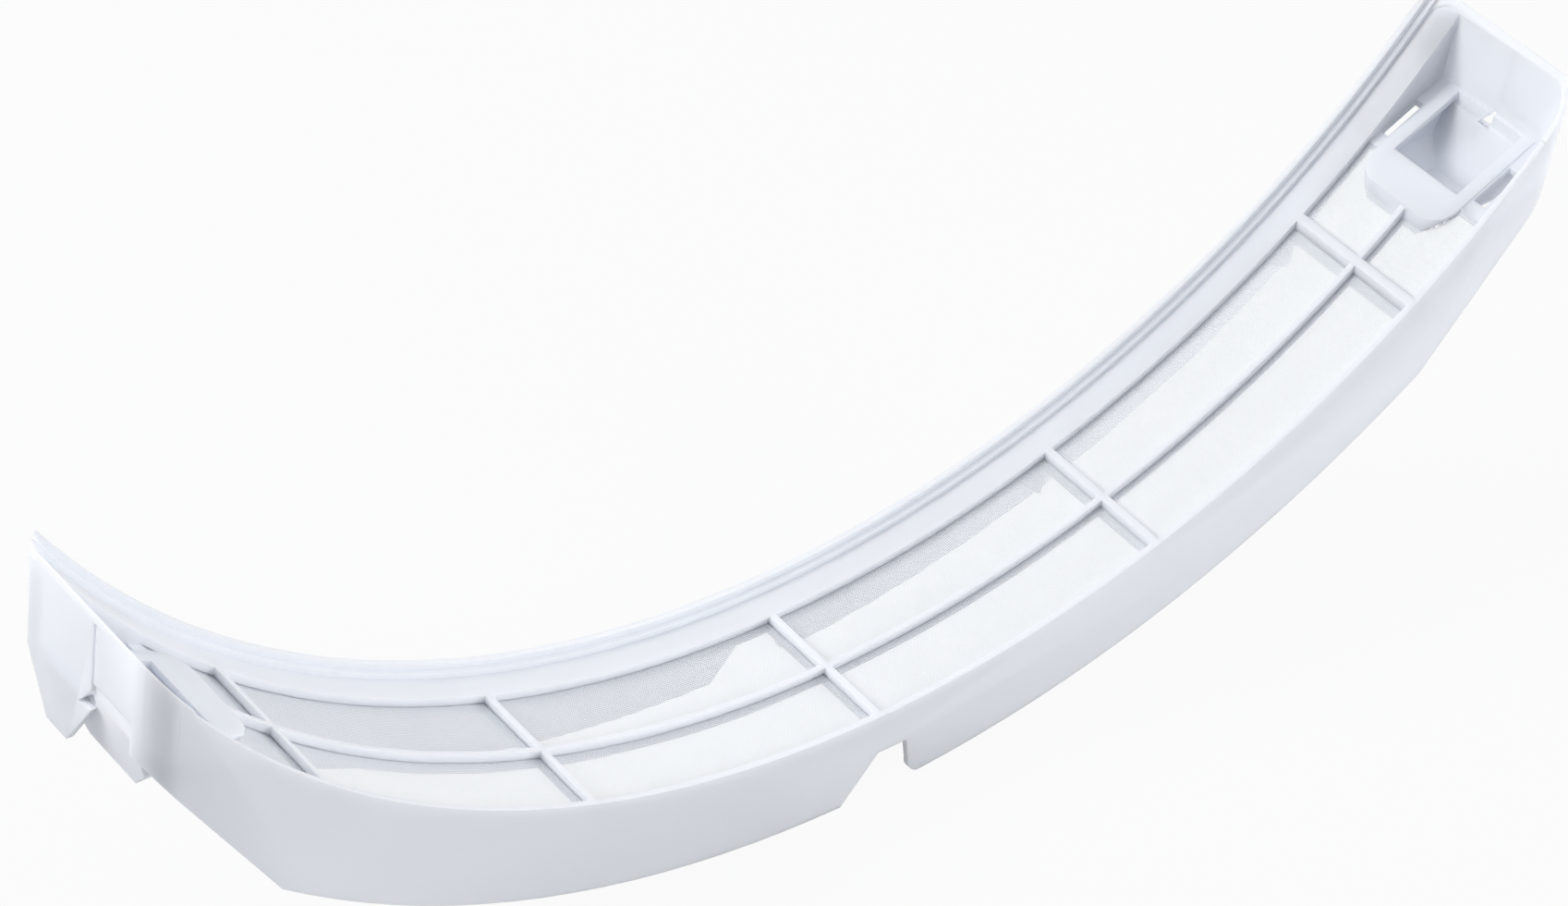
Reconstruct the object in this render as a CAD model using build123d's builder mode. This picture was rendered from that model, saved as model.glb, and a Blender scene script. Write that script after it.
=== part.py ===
from build123d import *
from math import asin, cos, degrees, radians, sin, sqrt, tan
import os

os.makedirs("parts", exist_ok=True)

# Lint filter of a tumble dryer: a curved open tray of white plastic with a welded filter mesh.
# X runs along the chord of the curve, Y from the near wall to the far wall, Z up.
# The tray is bent about a line along Y that stands above it, so it rests on its lower edges.

# Driving dimensions, in millimetres
rim_radius = 245.0          # near rim, from the bending line
skirt_depth = 25.5          # near rim down to the lower edges
lip_height = 3.0            # far lip above the near rim
lip_step_height = 1.4       # thickened foot of the far lip
half_length = 203.5         # middle to the outside of an end wall
tray_width = 51.0           # across the tray, walls included
corner_radius = 8.0
wall = 1.6
skirt_share = 0.69          # the lower edge leaves the arc at this share of an end's angle
end_wall_depth = 25.5       # height of an end wall
end_bead = 0.4              # end walls above the near rim
mesh_drop = 2.0             # near rim down to the mesh
mesh_thickness = 0.5
weld_gap = 0.05             # between the mesh and the plastic that it is welded into
ledge_y = 40.5              # near wall's outside to the inner edge of the far ledge
ledge_thickness = 1.6
rib_depth = 5.0             # height of the cross ribs, above and below the mesh together
rib_thickness = 1.8
rib_share = 0.432           # angle between cross ribs, as a share of the mesh's half angle
gusset_length = 7.5         # web under the ledge's edge, left of each rib on the right side
gusset_height = 9.0
cross_ribs = 5
spine_y = 20.5              # near wall's outside to the middle of the long rib
spine_thickness = 1.5
end_length = 24.0           # mesh's end to the outside of an end wall
end_inner_depth = 21.2      # end wall's top down to the end floor
floor_thickness = 1.6
notch_depth = 13.0
notch_left = -8.0
notch_right = 17.5
notch_slope = 9.3           # how far the notch narrows on its left side
notch_hook = 5.5            # width of the rounded hook on its right side
notch_radius = 2.0
cup_near_y = 8.7            # finger cup's outside, from the near wall's outside
cup_width = 28.8
cup_reach = 7.0             # mesh's end to the cup's rounded front, over the mesh
cup_collar = 0.4            # cup's flange above the end floor
cup_depth = 42.5            # end wall's top down to the cup's bottom
cup_chamfer = 6.0           # sloped lower corners of the cup
cup_front_radius = 6.0
finger_hole_margin = 3.5    # cup's side to the edge of its hole
finger_hole_start = 1.8     # mesh's end to the hole's front edge
slit_start = 3.5            # floor's front edge to the slits beside the cup
slit_length = 11.0
slit_width = 3.6
slit_gap = 0.6              # cup's outside to a slit
latch_near_y = 22.0         # spring latch of the end wall
latch_width = 23.5
latch_drop = 22.0           # tip below the raised band of the end wall
latch_shoulder = 7.7        # where the latch starts to taper, below the band
latch_tip_width = 7.5
latch_root = 2.0            # uncut strip above the latch
latch_cut = 0.8             # width of the cuts beside the latch
latch_window = 5.5          # height of the three-cornered hole at the latch's near edge
band_height = 17.5          # raised band of the end wall
end_draft = 16.0            # degrees by which a cup's back leans in below the end floor

# Derived sizes
skirt_radius = rim_radius + skirt_depth
lowest_x = min(-notch_left, notch_right)    # where the notched lower edges touch the ground
bend_height = sqrt(skirt_radius**2 - lowest_x**2)
lip_radius = rim_radius - lip_height
mesh_radius = rim_radius + mesh_drop
grid_radius = rim_radius + rib_depth
near_y = -tray_width / 2
top = bend_height - sqrt(rim_radius**2 - half_length**2)
lip_end_x = sqrt(lip_radius**2 - (bend_height - top) ** 2)
end_angle = degrees(asin(half_length / rim_radius))
skirt_end_x = skirt_radius * sin(radians(skirt_share * end_angle))
skirt_end_z = bend_height - skirt_radius * cos(radians(skirt_share * end_angle))
low_corner_z = top - end_wall_depth
inner_end_x = half_length - wall
floor_x = half_length - end_length
floor_angle = degrees(asin(floor_x / mesh_radius))
mesh_outside = mesh_radius + weld_gap + mesh_thickness
mesh_end_angle = degrees(asin((floor_x - weld_gap) / mesh_outside))
floor_front_z = bend_height - sqrt(mesh_radius**2 - floor_x**2)
floor_slope = (top - end_inner_depth - floor_front_z) / (inner_end_x - floor_x)
floor_drop = floor_thickness * sqrt(1 + floor_slope**2)
cup_back_x = half_length - wall / 2
cup_front_x = floor_x - cup_reach
cup_length = cup_back_x - cup_front_x
cup_bottom_z = top - cup_depth
cup_mid_y = near_y + cup_near_y + cup_width / 2
latch_mid_y = near_y + latch_near_y + latch_width / 2
latch_edge_y = latch_mid_y - latch_width / 2
band_low_z = top - band_height
lean = tan(radians(end_draft))
lean_z = top - end_inner_depth - floor_drop / 2
reach = tray_width + 20.0    # longer than the tray is wide


def on_arc(radius, angle):
    """Point of the side view at a radius and an angle from straight down."""
    return (radius * sin(radians(angle)), bend_height - radius * cos(radians(angle)))


def at_x(radius, x):
    """Point of the side view at a radius and a distance from the middle."""
    return (x, bend_height - sqrt(radius**2 - x**2))


def on_floor(x, below=0.0):
    """Point of the side view on the top of the right end floor, or below it."""
    return (x, floor_front_z + floor_slope * (x - floor_x) - below)


def behind(x, sign=1):
    """Corners of the side view's area that lies outside a back face which leans in below x."""
    return [
        (sign * x, lean_z),
        (sign * (half_length + wall), lean_z),
        (sign * (half_length + wall), 0),
        (sign * (x - lean * lean_z), 0),
    ]


def side_plane(y):
    """Plane of the side view at a distance along Y, with X to the right and Z up."""
    return Plane((0, y, 0), x_dir=(1, 0, 0), z_dir=(0, -1, 0))


def arc_band(inner, outer, angle):
    """Closed outline between two radii, from minus an angle to that angle."""
    with BuildLine() as outline:
        ThreePointArc(on_arc(inner, -angle), on_arc(inner, 0), on_arc(inner, angle))
        Line(on_arc(inner, angle), on_arc(outer, angle))
        ThreePointArc(on_arc(outer, angle), on_arc(outer, 0), on_arc(outer, -angle))
        Line(on_arc(outer, -angle), on_arc(inner, -angle))
    return outline.line


# Plan of the tray and of its outer walls
with BuildSketch() as plan:
    RectangleRounded(2 * half_length, tray_width, corner_radius)

with BuildSketch() as plan_ring:
    add(plan.sketch)
    offset(plan.sketch, amount=-wall, mode=Mode.SUBTRACT)

# Side view of the walls, up to the far lip
with BuildSketch(side_plane(near_y - wall)) as silhouette:
    with BuildLine():
        ThreePointArc(
            (-skirt_end_x, skirt_end_z),
            (0, bend_height - skirt_radius),
            (skirt_end_x, skirt_end_z),
        )
        Polyline(
            (skirt_end_x, skirt_end_z),
            (half_length, low_corner_z),
            (half_length, top),
            (lip_end_x, top),
        )
        ThreePointArc((lip_end_x, top), (0, bend_height - lip_radius), (-lip_end_x, top))
        Polyline(
            (-lip_end_x, top),
            (-half_length, top),
            (-half_length, low_corner_z),
            (-skirt_end_x, skirt_end_z),
        )
    make_face()

# Rounded end walls
with BuildPart() as ends:
    with BuildSketch():
        add(plan_ring.sketch)
    extrude(amount=top)
    extrude(silhouette.sketch, amount=-reach, mode=Mode.INTERSECT)
    with BuildSketch(side_plane(near_y - wall)):
        with Locations((0, bend_height)):
            Circle(rim_radius - end_bead)
        Rectangle(2 * (half_length - corner_radius - wall), 2 * top)
    extrude(amount=-reach, mode=Mode.SUBTRACT)

# Sloped floors between the mesh and the end walls, closed towards the ledge by an upright strip
with BuildPart() as floors:
    with BuildSketch(side_plane(near_y - wall)):
        with BuildLine():
            Polyline(
                on_floor(floor_x),
                on_floor(cup_back_x),
                on_floor(cup_back_x, floor_drop),
                on_floor(floor_x, floor_drop),
                close=True,
            )
        make_face()
    extrude(amount=-reach)
    with BuildSketch(side_plane(near_y + ledge_y + 0.1 * wall)):
        with BuildLine():
            Polyline(
                at_x(rim_radius + ledge_thickness / 2, floor_x),
                on_floor(floor_x, floor_drop / 2),
                on_floor(cup_back_x, floor_drop / 2),
                at_x(rim_radius + ledge_thickness / 2, cup_back_x),
            )
            ThreePointArc(
                at_x(rim_radius + ledge_thickness / 2, cup_back_x),
                at_x(rim_radius + ledge_thickness / 2, (floor_x + cup_back_x) / 2),
                at_x(rim_radius + ledge_thickness / 2, floor_x),
            )
        make_face()
    extrude(amount=-0.8 * wall)
    with BuildSketch():
        offset(plan.sketch, amount=-wall / 2)
    extrude(amount=2 * top, mode=Mode.INTERSECT)
    mirror(about=Plane.YZ)

# Hollow of a finger cup, under its flange
cup_plane = Plane((cup_front_x, cup_mid_y, 0), x_dir=(0, 1, 0), z_dir=(1, 0, 0))
cup_half = cup_width / 2
with BuildSketch(cup_plane) as cup_section:
    with BuildLine():
        Polyline(
            (-cup_half, top),
            (-cup_half, cup_bottom_z + 1.3 * cup_chamfer),
            (-cup_half + cup_chamfer, cup_bottom_z),
            (cup_half - cup_chamfer, cup_bottom_z),
            (cup_half, cup_bottom_z + 1.3 * cup_chamfer),
            (cup_half, top),
            close=True,
        )
    make_face()

with BuildSketch() as cup_plan:
    with Locations((cup_front_x, cup_mid_y)):
        RectangleRounded(
            cup_length + reach, cup_width, cup_front_radius, align=(Align.MIN, Align.CENTER)
        )

with BuildPart() as hollow:
    with BuildSketch(cup_plane.offset(wall)):
        offset(cup_section.sketch_local, amount=-wall)
    extrude(amount=cup_length - 2 * wall)
    with BuildSketch():
        offset(cup_plan.sketch, amount=-wall)
    extrude(amount=2 * top, mode=Mode.INTERSECT)
    with BuildSketch(side_plane(near_y)):
        with BuildLine():
            Polyline(
                on_floor(cup_front_x, floor_drop),
                on_floor(half_length + wall, floor_drop),
                (half_length + wall, 2 * top),
                (cup_front_x, 2 * top),
                close=True,
            )
        make_face()
        with BuildLine():
            Polyline(*behind(cup_back_x - wall), close=True)
        make_face()
    extrude(amount=-reach, mode=Mode.SUBTRACT)

# Finger cups: each hangs from a flange that reaches over the mesh with a rounded front
with BuildPart() as cups:
    add(extrude(cup_section.sketch, amount=cup_length, mode=Mode.PRIVATE))
    with BuildSketch():
        add(cup_plan.sketch)
    extrude(amount=2 * top, mode=Mode.INTERSECT)
    with BuildSketch(side_plane(near_y)):
        with BuildLine():
            Polyline(
                on_floor(cup_front_x - wall, -cup_collar),
                on_floor(half_length + wall, -cup_collar),
                (half_length + wall, 2 * top),
                (cup_front_x - wall, 2 * top),
                close=True,
            )
        make_face()
    extrude(amount=-reach, mode=Mode.SUBTRACT)
    add(hollow.part, mode=Mode.SUBTRACT)
    mirror(about=Plane.YZ)

# Spring latch on each end wall: a tapered tongue that hangs below the raised band
with BuildPart() as latches:
    latch_plane = Plane((inner_end_x, latch_mid_y, 0), x_dir=(0, 1, 0), z_dir=(1, 0, 0))
    with BuildSketch(latch_plane):
        with BuildLine():
            Polyline(
                (-latch_width / 2, top - latch_root),
                (-latch_width / 2, band_low_z - latch_shoulder),
                (-latch_tip_width / 2, band_low_z - latch_drop),
                (latch_tip_width / 2, band_low_z - latch_drop),
                (latch_width / 2, band_low_z - latch_shoulder),
                (latch_width / 2, top - latch_root),
                close=True,
            )
        make_face()
    extrude(amount=wall)
    mirror(about=Plane.YZ)

# The one-piece moulded frame
with BuildPart() as frame:
    # Cross-section of the tray: near wall, grid plate, far ledge, stepped lip and far wall
    with BuildSketch(Plane((0, near_y, bend_height), x_dir=(0, 1, 0), z_dir=(1, 0, 0))):
        with BuildLine():
            Polyline(
                (0, rim_radius),
                (tray_width - 2 * wall, rim_radius),
                (tray_width - 2 * wall, rim_radius - lip_step_height),
                (tray_width - wall, rim_radius - lip_step_height),
                (tray_width - wall, lip_radius),
                (tray_width, lip_radius),
                (tray_width, skirt_radius),
                (tray_width - wall, skirt_radius),
                (tray_width - wall, rim_radius + ledge_thickness),
                (ledge_y + wall, rim_radius + ledge_thickness),
                (ledge_y + wall, grid_radius),
                (wall, grid_radius),
                (wall, skirt_radius),
                (0, skirt_radius),
                close=True,
            )
        make_face()
    revolve(axis=Axis((0, 0, bend_height), (0, 1, 0)))
    extrude(silhouette.sketch, amount=-reach, mode=Mode.INTERSECT)
    with BuildSketch():
        add(plan.sketch)
    extrude(amount=top, mode=Mode.INTERSECT)
    # Mesh windows on both sides of the long rib, between upright cross ribs
    rib_angles = [
        (index - (cross_ribs - 1) / 2) * rib_share * floor_angle for index in range(cross_ribs)
    ]
    rib_xs = [mesh_radius * sin(radians(angle)) for angle in rib_angles]
    window_starts = [-inner_end_x] + [x + rib_thickness / 2 for x in rib_xs]
    window_ends = [x - rib_thickness / 2 for x in rib_xs] + [inner_end_x]
    lanes = (
        (wall, spine_y - spine_thickness / 2),
        (spine_y + spine_thickness / 2, ledge_y),
    )
    with BuildSketch():
        for lane_near, lane_far in lanes:
            for start, end in zip(window_starts, window_ends):
                with Locations(((start + end) / 2, near_y + (lane_near + lane_far) / 2)):
                    Rectangle(end - start, lane_far - lane_near)
        for sign in (-1, 1):
            with Locations((sign * (cup_front_x + wall / 2 + inner_end_x) / 2, near_y + spine_y)):
                Rectangle(inner_end_x - cup_front_x - wall / 2, 2 * spine_thickness)
    extrude(amount=2 * top, mode=Mode.SUBTRACT)
    # Slot in the ribs and in the ledge's edge that holds the mesh
    with BuildSketch(side_plane(near_y + wall)):
        add(arc_band(mesh_radius, mesh_outside + weld_gap, floor_angle))
        make_face()
    extrude(amount=-(ledge_y - wall / 2), mode=Mode.SUBTRACT)
    # Three-cornered webs under the ledge's edge, at the ribs of the right half
    with BuildSketch(side_plane(near_y + ledge_y + 0.1 * wall)):
        for rib_x in rib_xs:
            if rib_x > rib_thickness:
                with BuildLine():
                    Polyline(
                        at_x(grid_radius - wall, rib_x + rib_thickness / 2),
                        at_x(grid_radius - wall, rib_x - gusset_length),
                        at_x(grid_radius, rib_x - gusset_length),
                        (rib_x, at_x(grid_radius, rib_x)[1] - gusset_height),
                        (
                            rib_x + rib_thickness / 2,
                            at_x(grid_radius, rib_x)[1] - gusset_height,
                        ),
                        close=True,
                    )
                make_face()
    extrude(amount=-0.8 * wall)
    add(ends.part)
    add(floors.part)
    add(cups.part)
    # Below its band each end wall is set back, and a cut runs down each side of the latch
    for sign in (-1, 1):
        face_plane = Plane((sign * half_length, 0, 0), x_dir=(0, 1, 0), z_dir=(1, 0, 0))
        with BuildSketch(face_plane):
            with Locations((0, band_low_z)):
                Rectangle(tray_width - 2 * corner_radius, cup_depth, align=(Align.CENTER, Align.MAX))
            with Locations((latch_mid_y, top - latch_root)):
                Rectangle(
                    latch_width + 2 * latch_cut, band_height, align=(Align.CENTER, Align.MAX)
                )
        extrude(amount=-sign * wall / 2, mode=Mode.SUBTRACT)
        with BuildSketch(side_plane(near_y + corner_radius)):
            with BuildLine():
                Polyline(*behind(cup_back_x, sign), close=True)
            make_face()
        extrude(amount=-(tray_width - 2 * corner_radius), mode=Mode.SUBTRACT)
    add(latches.part)
    # Finger hole of each cup and the slits beside it, through the end floor
    hole_front_x = floor_x + finger_hole_start
    hole_length = cup_back_x - wall - hole_front_x
    slit_x = floor_x + slit_start + slit_length / 2
    far_slit_near = cup_mid_y + cup_half + slit_gap
    far_slit_width = near_y + ledge_y - far_slit_near
    hole_width = cup_width - 2 * finger_hole_margin
    with BuildSketch(side_plane(cup_mid_y - hole_width / 2)):
        for sign in (-1, 1):
            corners = (
                on_floor(hole_front_x, 1.5 * floor_drop),
                on_floor(hole_front_x + hole_length, 1.5 * floor_drop),
                (hole_front_x + hole_length, 2 * top),
                (hole_front_x, 2 * top),
            )
            with BuildLine():
                Polyline(*[(sign * x, z) for x, z in corners], close=True)
            make_face()
    extrude(amount=-hole_width, mode=Mode.SUBTRACT)
    with BuildSketch(Plane.XY.offset(cup_bottom_z)):
        for sign in (-1, 1):
            with Locations((sign * slit_x, cup_mid_y - cup_half - slit_gap - slit_width / 2)):
                Rectangle(slit_length, slit_width)
            with Locations((sign * slit_x, far_slit_near + far_slit_width / 2)):
                Rectangle(slit_length, far_slit_width)
    extrude(amount=cup_depth, mode=Mode.SUBTRACT)
    # Three-cornered hole at the near edge of each latch
    for sign in (-1, 1):
        with BuildSketch(Plane((sign * half_length, 0, 0), x_dir=(0, 1, 0), z_dir=(1, 0, 0))):
            with BuildLine():
                Polyline(
                    (latch_edge_y, band_low_z - latch_shoulder + latch_window),
                    (latch_edge_y + 0.8 * latch_window, band_low_z - latch_shoulder - latch_cut),
                    (latch_edge_y, band_low_z - latch_shoulder),
                    close=True,
                )
            make_face()
        extrude(amount=-sign * 2 * wall, mode=Mode.SUBTRACT)
    # Notch with a rounded hook in the lower edges of both long walls
    with BuildSketch(side_plane(near_y - wall)):
        with BuildLine():
            Polyline(
                (notch_left - notch_slope / 4, -notch_depth / 4),
                (notch_left + notch_slope, notch_depth),
                (notch_right - notch_hook - notch_radius, notch_depth),
                (notch_right - notch_hook, notch_hook),
            )
            ThreePointArc(
                (notch_right - notch_hook, notch_hook),
                (notch_right - 0.7 * notch_hook, 0.3 * notch_hook),
                (notch_right, 0),
            )
            Polyline(
                (notch_right, 0),
                (notch_right, -notch_depth / 4),
                (notch_left - notch_slope / 4, -notch_depth / 4),
            )
        make_face()
    extrude(amount=-reach, mode=Mode.SUBTRACT)
frame.part.label = "frame"
export_step(frame.part, "parts/frame.step")

# Filter mesh, welded into the ribs and the ledge's edge
with BuildPart() as mesh:
    with BuildSketch(side_plane(near_y + wall + weld_gap)):
        add(arc_band(mesh_radius + weld_gap, mesh_outside, mesh_end_angle))
        make_face()
    extrude(amount=-(ledge_y - wall / 2 - 2 * weld_gap))
    # The strip is cut out round the cups
    with BuildSketch() as cut_out:
        offset(cup_plan.sketch, amount=weld_gap)
        mirror(about=Plane.YZ)
    extrude(amount=2 * top, mode=Mode.SUBTRACT)
mesh.part.label = "mesh"
export_step(mesh.part, "parts/mesh.step")
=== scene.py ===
import math

import bmesh
import bpy
from mathutils import Matrix, Vector
from mathutils import noise as turbulence


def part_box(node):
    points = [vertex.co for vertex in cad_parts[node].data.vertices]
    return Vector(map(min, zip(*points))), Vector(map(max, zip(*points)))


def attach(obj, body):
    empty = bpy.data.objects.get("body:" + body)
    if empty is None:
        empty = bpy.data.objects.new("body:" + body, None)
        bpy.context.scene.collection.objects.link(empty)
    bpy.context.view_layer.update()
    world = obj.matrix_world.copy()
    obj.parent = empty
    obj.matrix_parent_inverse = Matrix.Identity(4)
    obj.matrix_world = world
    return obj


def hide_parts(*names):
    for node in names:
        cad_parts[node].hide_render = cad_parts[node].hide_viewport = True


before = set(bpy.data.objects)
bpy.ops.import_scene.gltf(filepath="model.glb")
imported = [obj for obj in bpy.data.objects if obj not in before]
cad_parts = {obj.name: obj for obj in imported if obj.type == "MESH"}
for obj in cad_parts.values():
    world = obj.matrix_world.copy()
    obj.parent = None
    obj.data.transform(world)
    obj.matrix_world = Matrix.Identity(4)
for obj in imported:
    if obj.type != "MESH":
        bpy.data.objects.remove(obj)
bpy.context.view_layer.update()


# Moulded frame: the curved open tray with its grid, far ledge, end floors, finger cups and latches.
# White translucent plastic, injection moulded in one shot, so every edge carries a small
# mould radius and the skin is satin with faint flow shading.
PLASTIC_TINT = (0.838, 0.862, 0.925, 1)
PLASTIC_SHADE = (0.814, 0.840, 0.905, 1)
FLOW_SCALE = 22
GRAIN_SCALE = 900
PEEL_SCALE = 260
PEEL_STRENGTH = 0.15
PEEL_DEPTH = 0.00003
PLASTIC_ROUGHNESS = 0.36
FLOW_ROUGHNESS = 0.10
GRAIN_ROUGHNESS = 0.06
PLASTIC_IOR = 1.49
SCATTER_SHARE = 0.7
SCATTER_DEPTH = 0.0035
MOULD_RADIUS = 0.00035
WELD_DISTANCE = 0.000005
SHARP_ANGLE = math.radians(35)
FLAT_ANGLE = math.radians(0.5)


class Shade:
    """One socket of a material: arithmetic on it adds Math nodes, node() adds any other node."""

    def __init__(self, tree, socket=None):
        self.tree = tree
        self.socket = socket

    def node(self, kind, settings, values, out=0):
        made = self.tree.nodes.new(kind)
        for name, value in settings.items():
            setattr(made, name, value)
        for key, value in values.items():
            if isinstance(value, Shade):
                self.tree.links.new(value.socket, made.inputs[key])
            else:
                made.inputs[key].default_value = value
        return Shade(self.tree, made.outputs[out] if len(made.outputs) else None)

    def math(self, operation, *others):
        values = {index: value for index, value in enumerate((self, *others))}
        return self.node("ShaderNodeMath", {"operation": operation}, values)

    def __add__(self, other):
        return self.math("ADD", other)

    __radd__ = __add__

    def __rsub__(self, other):
        return self.node("ShaderNodeMath", {"operation": "SUBTRACT"}, {0: other, 1: self})

    def __mul__(self, other):
        return self.math("MULTIPLY", other)

    __rmul__ = __mul__

    def __truediv__(self, other):
        return self.math("DIVIDE", other)


def new_material(name):
    """A material with an empty node tree, and the shade to start its nodes from."""
    material = bpy.data.materials.new(name)
    material.use_nodes = True
    material.node_tree.nodes.clear()
    return material, Shade(material.node_tree)


def show(start, surface):
    start.node("ShaderNodeOutputMaterial", {}, {"Surface": surface})


def noise(start, place, scale, detail):
    return start.node(
        "ShaderNodeTexNoise",
        {},
        {"Vector": place, "Scale": scale, "Detail": detail, "Roughness": 0.5},
    )


def moulded_plastic():
    material, start = new_material("white_moulded_plastic")
    place = start.node("ShaderNodeTexCoord", {}, {}, out="Object")
    flow = noise(start, place, FLOW_SCALE, 2)
    grain = noise(start, place, GRAIN_SCALE, 2)
    peel = noise(start, place, PEEL_SCALE, 1)
    tint = start.node(
        "ShaderNodeMix",
        {"data_type": "RGBA"},
        {0: flow, 6: PLASTIC_SHADE, 7: PLASTIC_TINT},
        out=2,
    )
    normal = start.node(
        "ShaderNodeBump",
        {},
        {"Strength": PEEL_STRENGTH, "Distance": PEEL_DEPTH, "Height": peel},
    )
    surface = start.node(
        "ShaderNodeBsdfPrincipled",
        {},
        {
            "Base Color": tint,
            "Roughness": PLASTIC_ROUGHNESS + FLOW_ROUGHNESS * flow + GRAIN_ROUGHNESS * grain,
            "Normal": normal,
            "IOR": PLASTIC_IOR,
            "Subsurface Weight": SCATTER_SHARE,
            "Subsurface Radius": (1.0, 1.0, 1.0),
            "Subsurface Scale": SCATTER_DEPTH,
        },
    )
    show(start, surface)
    return material


def rounded_copy(node_name, piece_name):
    """Copy of a CAD node with flat faces merged, its sharp edges rounded and its arcs smooth."""
    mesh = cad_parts[node_name].data.copy()
    shape = bmesh.new()
    shape.from_mesh(mesh)
    bmesh.ops.remove_doubles(shape, verts=shape.verts, dist=WELD_DISTANCE)
    bmesh.ops.dissolve_limit(
        shape, angle_limit=FLAT_ANGLE, verts=shape.verts, edges=shape.edges
    )
    for face in shape.faces:
        face.smooth = True
    shape.to_mesh(mesh)
    shape.free()
    mesh.materials.clear()
    piece = bpy.data.objects.new(piece_name, mesh)
    bpy.context.scene.collection.objects.link(piece)
    bevel = piece.modifiers.new("mould_radius", "BEVEL")
    bevel.width = MOULD_RADIUS
    bevel.segments = 2
    bevel.limit_method = "ANGLE"
    bevel.angle_limit = SHARP_ANGLE
    bevel.harden_normals = True
    return piece


tray = rounded_copy("frame", "tray")
tray.data.materials.append(moulded_plastic())
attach(tray, "root")
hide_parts("frame")


# Filter mesh: fine plain-woven polyester gauze, one strip bent to the tray's curve.
# It is caught in the slot of the ribs and the far ledge's edge, and cut out round the finger cups.
BEND_HEIGHT = 0.27038
GAUZE_RADIUS = 0.24725
GAUZE_ARC_STEPS = 420
GAUZE_CROSS_STEPS = 44
GAUZE_SLACK = 0.00012
RIPPLE_ALONG = 90
RIPPLE_ACROSS = 140
CUP_FRONT = 0.1725
CUP_NEAR_Y = -0.0168
CUP_FAR_Y = 0.0120
CUP_CORNER = 0.006
CUP_WALL = 0.0016
THREAD_PITCH = 0.00055
THREAD_SHARE = 0.46
THREAD_EDGE = 0.06
THREAD_BUMP = 0.5
THREAD_DEPTH = 0.00012
THREAD_ROUGHNESS = 0.45
THREAD_SHEEN = 0.15
CROSSING_HEIGHT = 0.4
MOTTLE_SCALE = 60
MOTTLE_ROUGHNESS = 0.1
THREAD_WHITE = (0.88, 0.90, 0.935, 1)
THREAD_GREY = (0.82, 0.845, 0.88, 1)


def in_cup(x, y):
    """Whether a place on the strip lies within a finger cup, past the middle of the cup's wall."""
    inset = CUP_WALL / 2
    depth = abs(x) - CUP_FRONT - inset
    side = min(y - CUP_NEAR_Y, CUP_FAR_Y - y) - inset
    if min(depth, side) <= 0:
        return False
    corner = CUP_CORNER - inset
    return max(depth, side) > corner or math.hypot(corner - depth, corner - side) < corner


gauze_low, gauze_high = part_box("mesh")
gauze_angle = math.atan2(gauze_high.x, BEND_HEIGHT - gauze_high.z)
gauze_width = gauze_high.y - gauze_low.y


def gauze_sheet():
    """The strip as a fine grid on the mesh's own arc, a little slack, and cut out round the cups."""
    shape = bmesh.new()
    rows = []
    for step in range(GAUZE_ARC_STEPS + 1):
        angle = gauze_angle * (2 * step / GAUZE_ARC_STEPS - 1)
        row = []
        for cross in range(GAUZE_CROSS_STEPS + 1):
            y = gauze_low.y + gauze_width * cross / GAUZE_CROSS_STEPS
            along = angle * GAUZE_RADIUS
            ripple = turbulence.noise(Vector((RIPPLE_ALONG * along, RIPPLE_ACROSS * y, 0)))
            radius = GAUZE_RADIUS + GAUZE_SLACK * ripple
            x = radius * math.sin(angle)
            z = BEND_HEIGHT - radius * math.cos(angle)
            row.append(shape.verts.new((x, y, z)))
        rows.append(row)
    for row, after in zip(rows, rows[1:]):
        for corners in zip(row, after, after[1:], row[1:]):
            middle = sum((corner.co for corner in corners), Vector()) / 4
            if not in_cup(middle.x, middle.y):
                shape.faces.new(corners).smooth = True
    loose = [vert for vert in shape.verts if not vert.link_faces]
    bmesh.ops.delete(shape, geom=loose, context="VERTS")
    mesh = bpy.data.meshes.new("gauze")
    shape.to_mesh(mesh)
    shape.free()
    piece = bpy.data.objects.new("gauze", mesh)
    bpy.context.scene.collection.objects.link(piece)
    return piece


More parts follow.
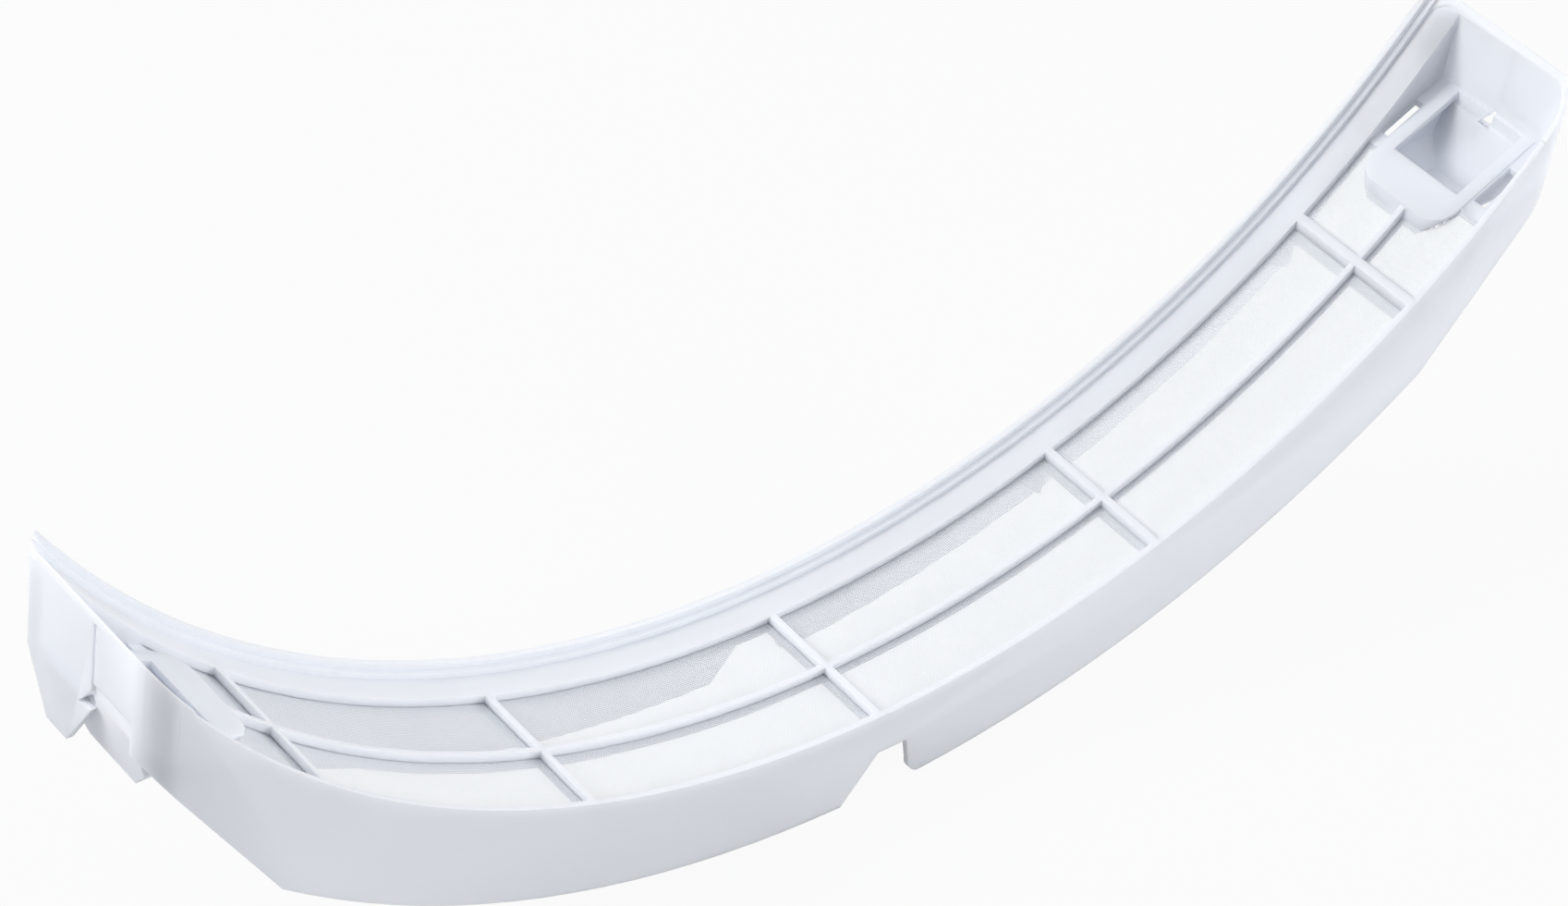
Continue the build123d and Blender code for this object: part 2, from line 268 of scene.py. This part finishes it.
def woven_gauze():
    material, start = new_material("woven_gauze")
    place = start.node("ShaderNodeTexCoord", {}, {}, out="Object")
    x = start.node("ShaderNodeSeparateXYZ", {}, {"Vector": place}, out="X")
    y = start.node("ShaderNodeSeparateXYZ", {}, {"Vector": place}, out="Y")
    z = start.node("ShaderNodeSeparateXYZ", {}, {"Vector": place}, out="Z")
    along = x.math("ARCTAN2", BEND_HEIGHT - z) * GAUZE_RADIUS

    def thread(distance):
        """1 in the middle of a thread, falling to 0 at the middle of the opening."""
        return 1 - 2 * (distance / THREAD_PITCH).math("PINGPONG", 0.5)

    def covered(profile):
        return profile.node(
            "ShaderNodeMapRange",
            {"interpolation_type": "SMOOTHSTEP"},
            {
                "Value": profile,
                "From Min": 1 - THREAD_SHARE - THREAD_EDGE,
                "From Max": 1 - THREAD_SHARE + THREAD_EDGE,
            },
        )

    warp = thread(along)
    weft = thread(y)
    cloth = covered(warp).math("MAXIMUM", covered(weft))
    over = (along * (math.pi / THREAD_PITCH)).math("SINE")
    under = (y * (math.pi / THREAD_PITCH)).math("SINE")
    height = warp.math("MAXIMUM", weft) + CROSSING_HEIGHT * over * under
    mottle = noise(start, place, MOTTLE_SCALE, 3)
    tint = start.node(
        "ShaderNodeMix",
        {"data_type": "RGBA"},
        {0: mottle, 6: THREAD_GREY, 7: THREAD_WHITE},
        out=2,
    )
    normal = start.node(
        "ShaderNodeBump",
        {},
        {"Strength": THREAD_BUMP, "Distance": THREAD_DEPTH, "Height": height},
    )
    surface = start.node(
        "ShaderNodeBsdfPrincipled",
        {},
        {
            "Base Color": tint,
            "Roughness": THREAD_ROUGHNESS + MOTTLE_ROUGHNESS * mottle,
            "Alpha": cloth,
            "Normal": normal,
            "Sheen Weight": THREAD_SHEEN,
        },
    )
    show(start, surface)
    return material


gauze = gauze_sheet()
gauze.data.materials.append(woven_gauze())
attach(gauze, "root")
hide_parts("mesh")


# Studio: a plain white paper floor, a soft sky that is dim low down on the camera's side,
# soft lamps from above, the left and the right, and the camera at the photograph's angle.
FLOOR_TONE = (0.50, 0.505, 0.52, 1)
PAPER_WHITE = (1, 1, 1, 1)
PAPER_GLOW = 0.93
SKY_TONE = (0.97, 0.985, 1.0, 1)
SKY_STRENGTH = 0.71
FRONT_STRENGTH = 0.02
FRONT_SIDE = (-0.66, -0.65, -0.37)
FRONT_EDGE = 0.30
FRONT_CORE = 0.74
LAMPS = (
    ("top_softbox", (0.10, 0.30, 1.55), 1.5, 0.8),
    ("left_softbox", (-1.05, 0.60, 0.85), 0.7, 12.0),
    ("right_softbox", (1.00, -1.10, 0.40), 0.9, 11.5),
)
LAMP_AIM = Vector((0, 0, 0.06))
CAMERA_PLACE = Vector((-0.5655, -0.5406, 0.72058))
CAMERA_RIGHT = Vector((0.7697, -0.6250, 0.1305))
CAMERA_BACK = Vector((-0.5504, -0.5460, 0.6316))
CAMERA_LENS = 102.27
FILM_WIDTH = 36
FLOOR_HALF = 4.0


def floor_paper():
    """Pale paper: it lights the object as a mid tone, and reads as white to the camera."""
    material, start = new_material("floor_paper")
    direct = start.node("ShaderNodeLightPath", {}, {}, out="Is Camera Ray")
    glossy = start.node("ShaderNodeLightPath", {}, {}, out="Is Glossy Ray")
    through = start.node("ShaderNodeLightPath", {}, {}, out="Is Transmission Ray")
    seen = direct.math("MAXIMUM", glossy).math("MAXIMUM", through)
    matte = start.node("ShaderNodeBsdfDiffuse", {}, {"Color": FLOOR_TONE})
    bright = start.node("ShaderNodeEmission", {}, {"Color": PAPER_WHITE, "Strength": 1.0})
    glow_share = PAPER_GLOW * seen
    show(start, start.node("ShaderNodeMixShader", {}, {0: glow_share, 1: matte, 2: bright}))
    return material


paper_mesh = bpy.data.meshes.new("paper")
corners = [
    (-FLOOR_HALF, -FLOOR_HALF, 0),
    (FLOOR_HALF, -FLOOR_HALF, 0),
    (FLOOR_HALF, FLOOR_HALF, 0),
    (-FLOOR_HALF, FLOOR_HALF, 0),
]
paper_mesh.from_pydata(corners, [], [(0, 1, 2, 3)])
paper = bpy.data.objects.new("paper", paper_mesh)
bpy.context.scene.collection.objects.link(paper)
paper.data.materials.append(floor_paper())

world = bpy.data.worlds.new("soft_sky")
world.use_nodes = True
world.node_tree.nodes.clear()
sky = Shade(world.node_tree)
outward = sky.node("ShaderNodeTexCoord", {}, {}, out="Generated")
frontness = sky.node(
    "ShaderNodeVectorMath", {"operation": "DOT_PRODUCT"}, {0: outward, 1: FRONT_SIDE}, out="Value"
)
strength = sky.node(
    "ShaderNodeMapRange",
    {"interpolation_type": "SMOOTHSTEP"},
    {
        "Value": frontness,
        "From Min": FRONT_EDGE,
        "From Max": FRONT_CORE,
        "To Min": SKY_STRENGTH,
        "To Max": FRONT_STRENGTH,
    },
)
glow = sky.node("ShaderNodeBackground", {}, {"Color": SKY_TONE, "Strength": strength})
sky.node("ShaderNodeOutputWorld", {}, {"Surface": glow})
bpy.context.scene.world = world

for lamp_name, lamp_place, lamp_size, lamp_power in LAMPS:
    light = bpy.data.lights.new(lamp_name, "AREA")
    light.size = lamp_size
    light.energy = lamp_power
    lamp = bpy.data.objects.new(lamp_name, light)
    lamp.location = lamp_place
    lamp.rotation_euler = (LAMP_AIM - Vector(lamp_place)).to_track_quat("-Z", "Y").to_euler()
    bpy.context.scene.collection.objects.link(lamp)

camera_data = bpy.data.cameras.new("camera")
camera_data.lens = CAMERA_LENS
camera_data.sensor_width = FILM_WIDTH
camera_data.sensor_fit = "HORIZONTAL"
camera = bpy.data.objects.new("camera", camera_data)
camera_up = CAMERA_BACK.cross(CAMERA_RIGHT)
turn = Matrix((CAMERA_RIGHT, camera_up, CAMERA_BACK)).transposed().to_4x4()
camera.matrix_world = Matrix.Translation(CAMERA_PLACE) @ turn
bpy.context.scene.collection.objects.link(camera)
bpy.context.scene.camera = camera
bpy.context.scene.view_settings.view_transform = "Standard"
